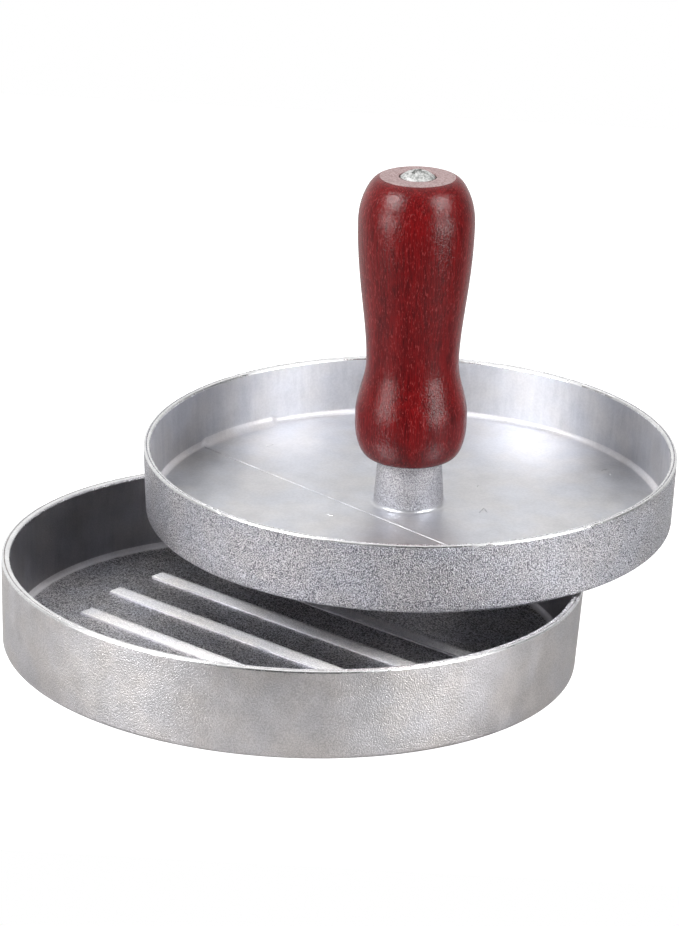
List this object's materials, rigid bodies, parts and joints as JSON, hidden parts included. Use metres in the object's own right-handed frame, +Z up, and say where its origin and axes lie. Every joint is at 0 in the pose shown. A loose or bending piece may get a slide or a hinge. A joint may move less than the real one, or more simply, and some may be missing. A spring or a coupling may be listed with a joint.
{
  "type": "burger press",
  "caption": "Round cast-metal burger press: a shallow dish with marking bars, and a pan-shaped press plate with a turned wooden handle, resting tilted on the dish's rim.",
  "frame": {"origin": "centre of the dish's flat underside", "axes": "+Z up, square to the dish's underside; +X to the right and +Y away as the front is seen, with the plunger lying towards the back right"},
  "size_m": [0.1403, 0.1491, 0.0949],
  "materials": {
    "dish_casting": "blasted casting with a turned bright rim",
    "plate_casting": "blasted casting, smooth satin floor, turned bright rim",
    "handle_wood": "red-brown gloss lacquer over fine grain",
    "bolt_steel": "bright plated",
    "washer_steel": "zinc plated"
  },
  "bodies": {
    "dish": {"dish": "dish_casting"},
    "plunger_carrier": {"lock_washer": "washer_steel"},
    "plunger": {"press_plate": "plate_casting", "handle": "handle_wood", "handle_bolt": "bolt_steel"}
  },
  "joints": [
    {"name": "plunger_lift", "type": "slide", "parent": "dish", "child": "plunger_carrier", "axis": [-0.3927, -0.5405, 0.7441], "range_m": [0, 0.06047]},
    {"name": "plunger_turn", "type": "hinge", "parent": "plunger_carrier", "child": "plunger", "pos_m": [0.02375, 0.03268, 0.01948], "axis": [-0.0306, -0.0421, 0.9986], "continuous": true}
  ]
}
